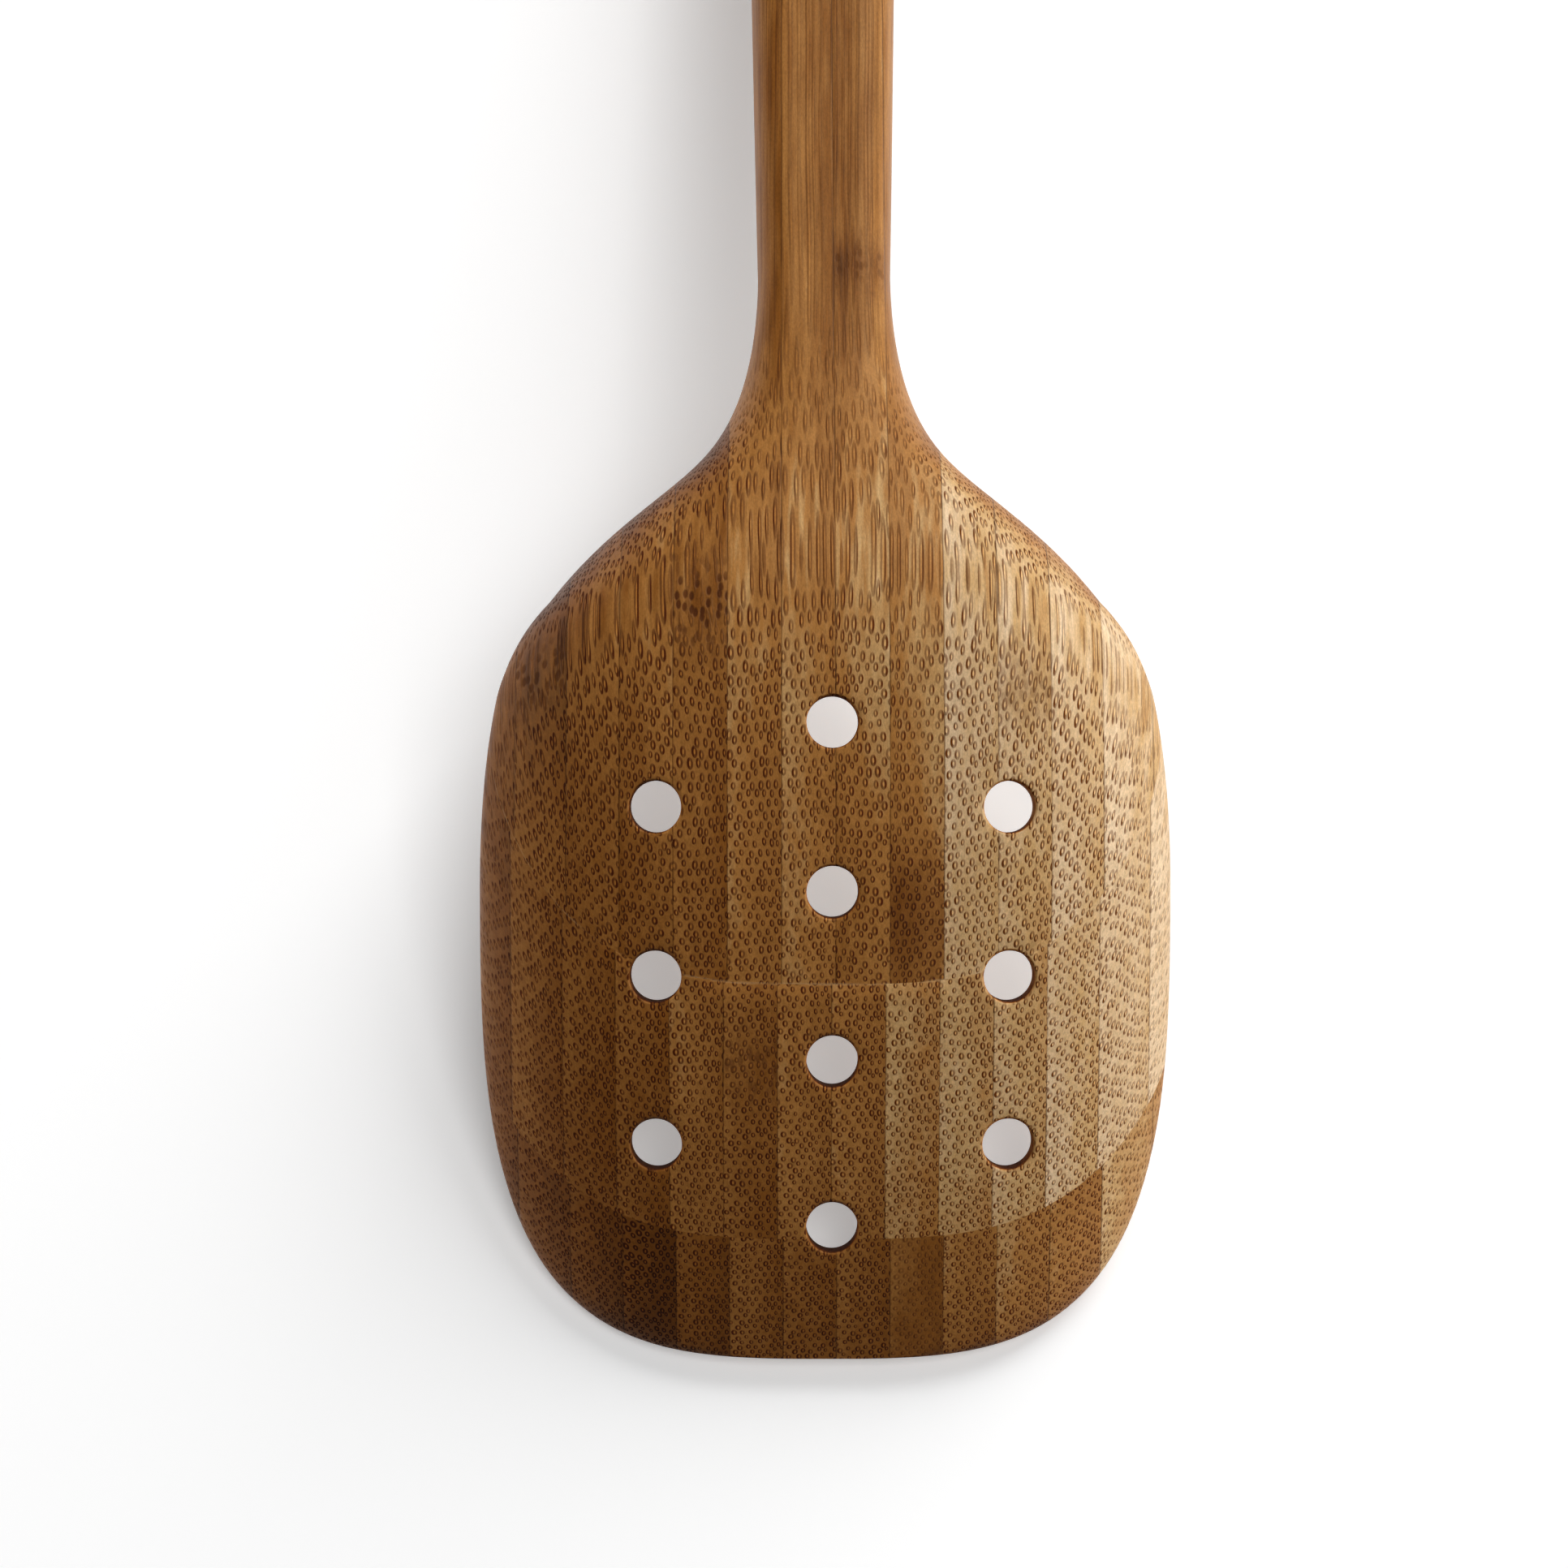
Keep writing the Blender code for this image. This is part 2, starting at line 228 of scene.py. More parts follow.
# Looks of a usual strip, and of the strips that differ from it
USUAL_LOOKS = {"Figure": 0.95, "Darker": 0.0, "Handle Tone": 0.15, "Node At": 500.0, "Node Reach": 5.0}
STRIP_LOOKS = {
    "back_ply_left_7": {"Darker": -0.10},
    "back_ply_left_6": {"Darker": 0.08, "Painted Tip Shade": -0.32,
                        "Node At": -9.5, "Node Reach": 5.0, "Node Tone": 0.1, "Node Pits": 0.7},
    "back_ply_left_5": {"Darker": -0.12, "Painted Tip Shade": 0.12, "Dense Left": 1.0},
    "back_ply_left_4": {"Darker": -0.12, "Painted Tip Shade": 0.17, "Dense Left": 1.0},
    "back_ply_left_3": {"Painted Tip Shade": 0.10,
                        "Node At": -5.5, "Node Reach": 8.0, "Node Tone": 0.25, "Node Pits": 1.0},
    "back_ply_left_2": {"Darker": -0.07, "Painted Tip Shade": 0.10},
    "back_ply_left_1": {"Figure": 0.85},
    "back_ply_right_1": {"Darker": -0.09, "Painted Tip Shade": 0.31, "Handle Tone": 0.38, "Dense Left": 1.0,
                         "Node At": 33.6, "Node Reach": 5.0, "Node Tone": 0.4, "Node Pits": 0.4},
    "back_ply_right_2": {"Darker": 0.06, "Painted Tip Shade": 0.16, "Figure": 0.8, "Dense Left": 1.0,
                         "Node At": -34.0, "Node Reach": 9.5, "Node Tone": 0.5, "Node Pits": 0.1},
    "back_ply_right_3": {"Darker": -0.24, "Painted Tip Shade": 0.12},
    "back_ply_right_4": {"Darker": -0.12, "Painted Tip Shade": 0.11,
                         "Node At": -13.0, "Node Reach": 6.0, "Node Tone": 0.25, "Node Pits": 0.4},
    "middle_ply_left_7": {"Darker": -0.08},
    "middle_ply_left_6": {"Darker": -0.12},
    "middle_ply_left_4": {"Darker": 0.08},
    "middle_ply_left_2": {"Darker": 0.18,
                          "Node At": -46.0, "Node Reach": 5.0, "Node Tone": 0.12, "Node Pits": 0.5},
    "middle_ply_left_1": {"Darker": 0.12},
    "middle_ply_right_1": {"Darker": 0.12},
    "front_ply_left_6": {"Darker": 0.06},
    "front_ply_left_5": {"Darker": 0.06},
    "front_ply_left_4": {"Darker": 0.18, "Figure": 1.5},
    "front_ply_left_2": {"Darker": -0.08},
    "front_ply_right_2": {"Darker": 0.12, "Figure": 0.5},
    "front_ply_right_5": {"Darker": 0.15},
}

# Camera: leans to the block like the drill, and looks a little left of the spoon's middle
VIEW_LEAN = 25.0
VIEW_SHIFT = (-0.00405, 0.0026)
VIEW_DISTANCE = 0.416
VIEW_LENS = 100.0
VIEW_SENSOR = 36.0
VIEW_CLIP = 0.01

# Light: name, direction (right, up, nearer in the picture), distance, size, power, colour, what it lights
LAMPS = (
    ("key_lamp", (0.40, 0.80, 0.45), 1.8, (1.3, 1.3), 25.5, (1.0, 0.98, 0.95), "spoon"),
    ("side_lamp", (0.93, 0.18, 0.28), 1.2, (0.8, 0.5), 9.6, (1.0, 0.97, 0.93), "spoon"),
    ("rim_lamp", (-0.91, 0.33, 0.24), 1.2, (0.8, 0.5), 4.3, (1.0, 0.73, 0.38), "spoon"),
    ("front_table_lamp", (0.28, 0.16, 0.945), 1.8, (0.9, 0.9), 10.8, (1.0, 1.0, 1.0), "table"),
    ("back_table_lamp", (0.43, 0.87, 0.22), 1.8, (1.3, 1.1), 31.0, (1.0, 1.0, 1.0), "table"),
)
ROOM_LIGHT = 0.03
SWEEP_PROFILE = ((1.2, 0.0), (1.7, 0.02), (2.1, 0.08), (2.4, 0.22), (2.5, 0.45))
SWEEP_SIDES = 64
FLOOR_COLOUR = (0.95, 0.95, 0.95, 1.0)
FLOOR_GLOW = 0.33
BACKDROP_GLOW = 0.9
GLOW_CHANGES = (0.3, 1.2)

NECK_AT = TIP_LENGTH + SHOULDER_LENGTH
END_AT = NECK_AT + HANDLE_LENGTH
KNEE_LENGTH = KNEE_RADIUS * radians(KNEE_ANGLE)
CREST_AT = KNEE_FROM_TIP + KNEE_LENGTH


def ease(start, end, at):
    """Smooth step from 0 at start to 1 at end."""
    share = min(max((at - start) / (end - start), 0.0), 1.0)
    return share * share * (3.0 - 2.0 * share)


def round_off(distance, length, power):
    """1 inside, falling to 0 at an end like a superellipse over the given length."""
    share = min(max(1.0 - distance / length, 0.0), 1.0)
    return (1.0 - share ** power) ** (1.0 / power)


def shoulder_ease(shares, at):
    """Smooth step between two places on the shoulder."""
    return ease(TIP_LENGTH + shares[0] * SHOULDER_LENGTH, TIP_LENGTH + shares[1] * SHOULDER_LENGTH, at)


def spine(at):
    """Point (y, z) on the back at a distance from the tip, and the slope of the back there."""
    past = CREST_AT - at
    if past <= 0.0:
        return -past, 0.0, 0.0
    if past <= KNEE_LENGTH:
        turn = past / KNEE_RADIUS
        return -KNEE_RADIUS * sin(turn), -KNEE_RADIUS * (1.0 - cos(turn)), turn
    knee = radians(KNEE_ANGLE)
    turn = knee + (past - KNEE_LENGTH) / HEAD_RADIUS
    y = -KNEE_RADIUS * sin(knee) - HEAD_RADIUS * (sin(turn) - sin(knee))
    z = -KNEE_RADIUS * (1.0 - cos(knee)) - HEAD_RADIUS * (cos(knee) - cos(turn))
    return y, z, turn


def shoulder_half_width(share):
    """Half width on the S-curve from the widest line (share 0) to the neck (share 1)."""
    low, high = 0.0, 1.0
    for _ in range(SHOULDER_HALVINGS):
        t = 0.5 * (low + high)
        near = 3.0 * SHOULDER_PULL * t * (1.0 - t) ** 2
        far = 3.0 * (1.0 - NECK_PULL) * t * t * (1.0 - t)
        if near + far + t ** 3 < share:
            low = t
        else:
            high = t
    return 0.5 * HEAD_WIDTH - 0.5 * (HEAD_WIDTH - NECK_WIDTH) * t * t * (3.0 - 2.0 * t)


def half_width(at):
    """Half width of the outline at a distance from the tip."""
    if at < TIP_LENGTH:
        share = 1.0 - at / TIP_LENGTH
        return 0.5 * HEAD_WIDTH * (1.0 - share ** TIP_FULLNESS) ** (1.0 / TIP_BLUNTNESS)
    if at < NECK_AT:
        return shoulder_half_width((at - TIP_LENGTH) / SHOULDER_LENGTH)
    share = (at - NECK_AT) / HANDLE_LENGTH
    width = NECK_WIDTH + (HANDLE_END_WIDTH - NECK_WIDTH) * (1.0 - (1.0 - share) ** 2)
    return 0.5 * width * round_off(END_AT - at, HANDLE_END_ROUND, EDGE_POWER)


def thickness(at):
    """Thickness on the centre line at a distance from the tip."""
    wall = TIP_WALL + (WALL - TIP_WALL) * ease(0.0, TIP_LENGTH, at)
    full = wall + (HANDLE_THICKNESS - wall) * shoulder_ease(THICKENING, at)
    return full * round_off(at, TIP_EDGE, TIP_EDGE_POWER) * round_off(END_AT - at, END_EDGE, EDGE_POWER)


def section(at, shares):
    """Closed section across the spoon: (x, offset from the spine) for the back, then the front."""
    half = half_width(at)
    thick = thickness(at)
    spread = 0.5 * HEAD_WIDTH if at < TIP_LENGTH else half
    drop = BOWL_DROP * (1.0 - shoulder_ease(BOWL_FADING, at))
    dip = NECK_DIP * shoulder_ease(NECK_DIPPING, at)
    back = []
    front = []
    for share in shares:
        x = share * half
        middle = -dip - drop * (abs(x) / spread) ** BOWL_POWER - 0.5 * thick
        edge = max(abs(share) - FLAT_SHARE, 0.0) / (1.0 - FLAT_SHARE)
        rise = 0.5 * thick * max(1.0 - edge ** EDGE_POWER, 0.0) ** (1.0 / EDGE_POWER)
        back.append((x, middle + rise))
        front.append((x, middle - rise))
    return back + front[-2:0:-1]


def section_shares():
    """Places across the half width: even on the flat, closing up towards the rounded edge."""
    flat = [FLAT_SHARE * step / FLAT_STEPS for step in range(1, FLAT_STEPS + 1)]
    angles = [0.5 * pi * step / EDGE_STEPS for step in range(1, EDGE_STEPS + 1)]
    half = flat + [FLAT_SHARE + (1.0 - FLAT_SHARE) * sin(angle) for angle in angles]
    return [-share for share in reversed(half)] + [0.0] + half


def stations():
    """Distances from the tip at which the spoon is sectioned."""
    tip = [TIP_LENGTH * (step / TIP_STEPS) ** TIP_CROWDING for step in range(1, TIP_STEPS + 1)]
    shoulder = [TIP_LENGTH + SHOULDER_LENGTH * step / SHOULDER_STEPS for step in range(1, SHOULDER_STEPS + 1)]
    straight = HANDLE_LENGTH - HANDLE_END_ROUND
    handle = [NECK_AT + straight * step / HANDLE_STEPS for step in range(1, HANDLE_STEPS + 1)]
    end = [END_AT - HANDLE_END_ROUND * cos(0.5 * pi * step / END_STEPS) ** 2 for step in range(1, END_STEPS)]
    end.append(END_AT - END_CAP_SHARE * HANDLE_END_ROUND)
    return tip + shoulder + handle + end


def join_rings(bm, rings):
    """Join a row of equal rings by faces."""
    for ring, following in zip(rings, rings[1:]):
        for index in range(len(ring)):
            beside = (index + 1) % len(ring)
            bm.faces.new((ring[index], ring[beside], following[beside], following[index]))


def close_rings(bm, rings):
    """Join a row of equal rings into a closed body."""
    join_rings(bm, rings)
    bm.faces.new(rings[0])
    bm.faces.new(rings[-1])


def mesh_from(name, build):
    """Mesh made by a bmesh build function, with its faces turned outwards."""
    bm = bmesh.new()
    build(bm)
    bmesh.ops.recalc_face_normals(bm, faces=bm.faces)
    mesh = bpy.data.meshes.new(name)
    bm.to_mesh(mesh)
    bm.free()
    return mesh


def new_object(name, mesh, place):
    """Object for a mesh of the block frame, put where the block lies."""
    obj = bpy.data.objects.new(name, mesh)
    bpy.context.scene.collection.objects.link(obj)
    obj.matrix_world = place
    return obj


def build_form(bm):
    """Loft the carved spoon through its sections."""
    rings = []
    shares = section_shares()
    for at in stations():
        y, z, turn = spine(at)
        loop = section(at, shares)
        rings.append([bm.verts.new((x, y - n * sin(turn), z + n * cos(turn))) for x, n in loop])
    close_rings(bm, rings)


def hole_centres():
    """Hole centres as (x, distance along the drilled plane from the first row)."""
    centres = []
    for row in range(HOLE_ROWS):
        columns = (0,) if row % 2 == 0 else (-1, 1)
        for column in columns:
            centres.append((HOLE_SHIFT + column * HOLE_COLUMN_PITCH, -row * HOLE_ROW_PITCH))
    return centres


def drill_builder(form_mesh):
    """Build function for the drills, each with a sanded lead-in that follows the surfaces it opens."""
    corners = [vertex.co for vertex in form_mesh.vertices]
    surface = BVHTree.FromPolygons(corners, [face.vertices for face in form_mesh.polygons])
    along, axis, origin = drill_axes()

    def ring_points(x, row, radius, side, depth):
        points = []
        for step in range(HOLE_SIDES):
            angle = 2.0 * pi * step / HOLE_SIDES
            foot = origin + along * (row + radius * sin(angle)) + Vector((x + radius * cos(angle), 0.0, 0.0))
            hit = surface.ray_cast(foot + axis * DRILL_REACH * side, -axis * side)[0]
            points.append(hit - axis * depth * side)
        return points

    def build(bm):
        radius = 0.5 * HOLE_DIAMETER
        for x, row in hole_centres():
            rings = []
            for side in (1.0, -1.0):
                levels = [(radius + HOLE_EASE, -lead) for lead in DRILL_LEAD]
                for step in range(1, EASE_STEPS + 1):
                    turn = 0.5 * pi * step / EASE_STEPS
                    levels.append((radius + HOLE_EASE * (1.0 - sin(turn)), HOLE_EASE * (1.0 - cos(turn))))
                if side < 0.0:
                    levels.reverse()
                rings += [ring_points(x, row, wide, side, depth) for wide, depth in levels]
            close_rings(bm, [[bm.verts.new(point) for point in ring] for ring in rings])

    return build


def drill_axes():
    """Directions along the drilled plane and along the drills, and the middle of the first row."""
    lean = radians(DRILL_LEAN)
    y, z, _ = spine(HOLE_FROM_TIP)
    return Vector((0.0, cos(lean), sin(lean))), Vector((0.0, -sin(lean), cos(lean))), Vector((0.0, y, z))


def mark_drilled(mesh):
    """Give the raw walls of the drain holes their own face attribute, for the material."""
    along, axis, origin = drill_axes()
    mark = mesh.attributes.new("drilled", 'FLOAT', 'FACE')
    for face in mesh.polygons:
        foot = face.center - origin
        for x, row in hole_centres():
            off = Vector((foot.x - x, foot.dot(along) - row)).length
            inside = off < 0.5 * HOLE_DIAMETER + DRILLED_MARGIN * HOLE_EASE
            if inside and abs(face.normal.dot(axis)) < DRILLED_TILT:
                mark.data[face.index].value = 1.0


def bar_builder(low, high):
    """Build function for a square-cut bar between two corners."""
    size = Vector(high) - Vector(low)
    middle = 0.5 * (Vector(high) + Vector(low))
    matrix = Matrix.Translation(middle) @ Matrix.Diagonal((size.x, size.y, size.z, 1.0))
    return lambda bm: bmesh.ops.create_cube(bm, size=1.0, matrix=matrix)


def cut(obj, tool, operation):
    """Mesh of an object after one cut."""
    modifier = obj.modifiers.new("cut", 'BOOLEAN')
    modifier.operation = operation
    modifier.solver = 'MANIFOLD'
    modifier.object = tool
    depsgraph = bpy.context.evaluated_depsgraph_get()
    result = bpy.data.meshes.new_from_object(obj.evaluated_get(depsgraph))
    obj.modifiers.remove(modifier)
    return result


def block_place():
    """Where the glued block lies on the table, from the flat back of the handle in the record."""
    mount = next(m for m in frame["record"]["mounts"] if m["name"] == "handle_back_flat")
    axis = mount["axis"]
    turn = Matrix.Rotation(-atan2(axis[1], axis[2]), 4, 'X')
    known_point = Vector((*MOUNT_AT, -NECK_DIP))
    return Matrix.Translation(Vector(mount["pos_m"]) - turn @ known_point) @ turn


def carve_strips(place):
    """The spoon as separate bamboo strips: {name: (object, left seam, right seam)}."""
    form = new_object("carved_form", mesh_from("carved_form", build_form), place)
    drills = new_object("drills", mesh_from("drills", drill_builder(form.data)), place)
    form.data = cut(form, drills, 'DIFFERENCE')
    strips = {}
    for ply, (name, (shift, lefts, rights)) in enumerate(PLIES.items()):
        top = PLY_THICKNESS if ply == 0 else -ply * PLY_THICKNESS
        bottom = -(ply + 1) * PLY_THICKNESS
        for count in range(-lefts, rights):
            side = "right_" + str(count + 1) if count >= 0 else "left_" + str(-count)
            left = shift + count * STRIP_WIDTH
            right = left + STRIP_WIDTH
            low = (left - (STRIP_WIDTH if count == -lefts else 0.0), BLOCK_ENDS[0], bottom)
            high = (right + (STRIP_WIDTH if count == rights - 1 else 0.0), BLOCK_ENDS[1], top)
            bar = new_object("bar", mesh_from("bar", bar_builder(low, high)), place)
            mesh = cut(bar, form, 'INTERSECT')
            bpy.data.objects.remove(bar, do_unlink=True)
            label = name + "_" + side
            mesh.name = label
            mark_drilled(mesh)
            mesh.transform(place)
            mesh.shade_smooth()
            mesh.set_sharp_from_angle(angle=radians(SMOOTH_BELOW))
            strips[label] = (new_object(label + "_carved", mesh, Matrix.Identity(4)), left, right)
    for tool in (form, drills):
        bpy.data.objects.remove(tool, do_unlink=True)
    return strips


class Wires:
    """Short calls for building a node tree."""

    def __init__(self, tree):
        self.tree = tree

    def node(self, kind, **settings):
        node = self.tree.nodes.new(kind)
        for key, value in settings.items():
            setattr(node, key, value)
        return node

    def feed(self, socket, value):
        if isinstance(value, bpy.types.NodeSocket):
            self.tree.links.new(value, socket)
        else:
            socket.default_value = value

    def math(self, operation, *values):
        node = self.node("ShaderNodeMath", operation=operation)
        for socket, value in zip(node.inputs, values):
            self.feed(socket, value)
        return node.outputs[0]

    def sum(self, *values):
        total = values[0]
        for value in values[1:]:
            total = self.math('ADD', total, value)
        return total

    def times(self, *values):
        product = values[0]
        for value in values[1:]:
            product = self.math('MULTIPLY', product, value)
        return product

    def step(self, value, low, high):
        """Smooth step of a value from 0 at low to 1 at high."""
        node = self.node("ShaderNodeMapRange", interpolation_type='SMOOTHSTEP')
        for socket, entry in zip(node.inputs, (value, low, high)):
            self.feed(socket, entry)
        return node.outputs[0]

    def between(self, share, low, high):
        """Value between two limits at a share from 0 to 1."""
        return self.math('MULTIPLY_ADD', share, self.math('SUBTRACT', high, low), low)

    def rest(self, share):
        """What is left of 1."""
        return self.math('SUBTRACT', 1.0, share)

    def sway(self, share):
        """A share from 0 to 1 as an even swing about 0."""
        return self.math('SUBTRACT', share, 0.5)

    def along(self, vector, direction):
        """Part of a vector along a direction."""
        node = self.node("ShaderNodeVectorMath", operation='DOT_PRODUCT')
        self.feed(node.inputs[0], vector)
        node.inputs[1].default_value = direction
        return node.outputs["Value"]

    def cells(self, u, v, randomness):
        """Flat cells of about one unit."""
        node = self.node("ShaderNodeTexVoronoi", voronoi_dimensions='2D')
        self.feed(node.inputs["Vector"], self.join(u, v, 0.0))
        node.inputs["Scale"].default_value = 1.0
        node.inputs["Randomness"].default_value = randomness
        return node.outputs

    def tint(self, share, colour, tint):
        """A colour, tinted by a share."""
        return self.blend(share, colour, self.blend(1.0, colour, tint, 'MULTIPLY'))

    def join(self, x, y, z):
        node = self.node("ShaderNodeCombineXYZ")
        for socket, value in zip(node.inputs, (x, y, z)):
            self.feed(socket, value)
        return node.outputs[0]

    def split(self, vector):
        node = self.node("ShaderNodeSeparateXYZ")
        self.feed(node.inputs[0], vector)
        return node.outputs

    def noise(self, vector, detail=2.0, roughness=0.5):
        """Noise of about one lump per unit, as its value and its colour."""
        node = self.node("ShaderNodeTexNoise")
        self.feed(node.inputs["Vector"], vector)
        node.inputs["Scale"].default_value = 1.0
        node.inputs["Detail"].default_value = detail
        node.inputs["Roughness"].default_value = roughness
        return node.outputs["Fac"], node.outputs["Color"]

    def ramp(self, share, stops):
        """Colour at a share along a row of stops."""
        node = self.node("ShaderNodeValToRGB")
        self.feed(node.inputs[0], share)
        elements = node.color_ramp.elements
        while len(elements) < len(stops):
            elements.new(0.5)
        for element, (at, colour) in zip(elements, stops):
            element.position = at
            element.color = colour
        return node.outputs[0]

    def blend(self, share, first, second, mode='MIX'):
        node = self.node("ShaderNodeMix", data_type='RGBA', blend_type=mode)
        self.feed(node.inputs["Factor"], share)
        self.feed(node.inputs[6], first)
        self.feed(node.inputs[7], second)
        return node.outputs[2]


def grain_group(place):
    """Node group that grows bamboo: fibre bundles along the block, toasted nodes, seams and fine grain.

    Lengths are in millimetres. Each strip gives its seams, its tone and where its node lies.
    """
    tree = bpy.data.node_groups.new("bamboo_grain", 'ShaderNodeTree')
    for name in GRAIN_INPUTS:
        tree.interface.new_socket(name, in_out='INPUT', socket_type='NodeSocketFloat')
    tree.interface.new_socket("Colour", in_out='OUTPUT', socket_type='NodeSocketColor')
    tree.interface.new_socket("Roughness", in_out='OUTPUT', socket_type='NodeSocketFloat')
    tree.interface.new_socket("Height", in_out='OUTPUT', socket_type='NodeSocketFloat')
    w = Wires(tree)
    given = w.node("NodeGroupInput").outputs
    seed, left, right = given["Seed"], given["Left Seam"], given["Right Seam"]

    mapping = w.node("ShaderNodeMapping", vector_type='TEXTURE')
    w.feed(mapping.inputs["Vector"], w.node("ShaderNodeTexCoord").outputs["Object"])
    mapping.inputs["Location"].default_value = place.to_translation()
    mapping.inputs["Rotation"].default_value = place.to_euler()
    mapping.inputs["Scale"].default_value = (1.0 / MM, 1.0 / MM, 1.0 / MM)
    x, y, z = w.split(mapping.outputs[0])

    def uneven(lumps, detail, roughness=0.5):
        across, along, deep = lumps
        lumpy = w.join(w.sum(w.times(x, across), seed), w.times(y, along), w.times(z, deep))
        return w.noise(lumpy, detail, roughness)

    # Fibres wander a little as they run along the strip, and more where the node lies
    ragged = w.noise(w.join(w.times(x, NODE_EDGE_GRAIN[0]), w.times(y, NODE_EDGE_GRAIN[1]), seed))[0]
    node_line = w.sum(w.math('ABSOLUTE', w.math('SUBTRACT', y, given["Node At"])),
                      w.times(w.sway(ragged), NODE_EDGE_WANDER))
    near = w.rest(w.step(node_line, 0.0, given["Node Reach"]))
    node = w.times(near, given["Node Tone"])
    pits = w.times(near, given["Node Pits"])
    drift = w.split(uneven(DRIFT_GRAIN, 1.0)[1])
    knot = w.split(uneven(KNOT_GRAIN, 1.0)[1])
    loose = w.times(pits, NODE_LOOSENING)
    across = w.sum(x, w.sway(drift[0]), w.times(w.sway(knot[0]), loose))
    deep = w.sum(z, w.sway(drift[2]), w.times(w.sway(knot[2]), loose))

    # Share across the strip, from the open inner side of the culm wall to its dense outer side
    width = w.math('SUBTRACT', right, left)
    rightward = w.math('DIVIDE', w.math('SUBTRACT', across, left), width)
    outer = w.sum(w.times(rightward, w.rest(given["Dense Left"])),
                  w.times(w.rest(rightward), given["Dense Left"]))

    # Bundles sit in slanting rows that close up towards the outer side
    column = w.sum(w.times(width, outer, w.math('MULTIPLY_ADD', outer, ROW_CLOSING, ROWS_PER_MM)), seed)
    row = w.times(deep, ROWS_PER_MM * ROW_FLATNESS)
    run, climb = cos(radians(ROW_SLANT)), sin(radians(ROW_SLANT))
    u = w.math('SUBTRACT', w.times(column, run), w.times(row, climb))
    v = w.sum(w.times(column, climb), w.times(row, run))
    bundle = w.cells(u, v, ROW_SCATTER)
    middle = w.split(bundle["Position"])
    draw = w.node("ShaderNodeSeparateColor")
    w.feed(draw.inputs[0], bundle["Color"])
    du = w.math('SUBTRACT', u, middle[0])
    dv = w.math('SUBTRACT', v, middle[1])
    size = w.between(draw.outputs[0], *BUNDLE_SIZES)
    side = w.math('DIVIDE', w.sum(w.times(du, run), w.times(dv, climb)), w.times(size, BUNDLE_WIDE))
    rise = w.math('DIVIDE', w.math('SUBTRACT', w.times(dv, run), w.times(du, climb)),
                  w.times(size, BUNDLE_DEEP))

    # The cut shows bundles as rings across the grain and as streaks along it
    normal = w.node("ShaderNodeNewGeometry").outputs["Normal"]
    slope = w.along(normal, place.to_3x3() @ Vector((0.0, 1.0, 0.0)))
    sideways = w.along(normal, place.to_3x3() @ Vector((1.0, 0.0, 0.0)))
    flank = w.step(w.math('ABSOLUTE', sideways), *FLANK_SLOPES)
    crossing = w.step(w.math('ABSOLUTE', slope), *CROSSING_SLOPES)
    end_grain = w.step(w.math('ABSOLUTE', slope), *END_GRAIN_SLOPES)
    # Painted shade on surfaces that face the handle end, such as the shoulders
    shoulder = w.step(slope, *SHOULDER_SHADE_SLOPES)
    handle = w.step(y, *HANDLE_FROM)
    strength = w.times(given["Figure"], w.between(handle, *FIGURE_HANDLE),
                       w.between(draw.outputs[1], *FIGURE_DRAWN), w.between(outer, *FIGURE_OUTWARD),
                       w.between(crossing, *FIGURE_CROSSING), w.between(flank, *FIGURE_FLANK),
                       w.math('MULTIPLY_ADD', near, FIGURE_NEAR_NODE, 1.0))

    # Each bundle is a dark sheath, heavier at its sides and darker on its left as painted shade, around a
    # pale slit
    far = w.math('SQRT', w.sum(w.times(side, side), w.times(rise, rise)))
    facing = w.math('DIVIDE', side, w.math('MAXIMUM', far, LEAST_FAR))
    slit = w.math('SQRT', w.sum(w.times(side, side, SLIT_SHAPE[0]), w.times(rise, rise, SLIT_SHAPE[1])))
    sheath = w.times(w.step(slit, *SHEATH_INNER), w.rest(w.step(far, *SHEATH_OUTER)))
    sides_and_left_shade = w.math('MULTIPLY_ADD', facing, SHEATH_LEFT_PAINTED_SHADE,
                      w.math('MULTIPLY_ADD', w.math('ABSOLUTE', facing), SHEATH_SIDES, SHEATH_DARKNESS))
    depth = w.math('MULTIPLY_ADD', given["Tone"], *SHEATH_PER_TONE)
    dark = w.math('MINIMUM', w.times(sheath, sides_and_left_shade, strength, depth), 1.0)
    core = w.times(w.rest(w.step(slit, *CORE_EDGE)), w.math('MINIMUM', strength, 1.0))
    bead = w.times(w.rest(w.step(far, *BEAD_EDGE)), strength)

    # At a node short pits take the place of the bundles
    hollow = w.cells(w.sum(w.times(x, PIT_GRAIN[0]), seed), w.times(y, PIT_GRAIN[1]), 1.0)["Distance"]
    pit = w.times(w.rest(w.step(hollow, *PIT_EDGE)), pits, PIT_DARKNESS)
    kept = w.math('MULTIPLY_ADD', pits, PIT_CLEARING, 1.0)
    dark = w.math('MAXIMUM', w.times(dark, kept), pit)
    core = w.times(core, kept)

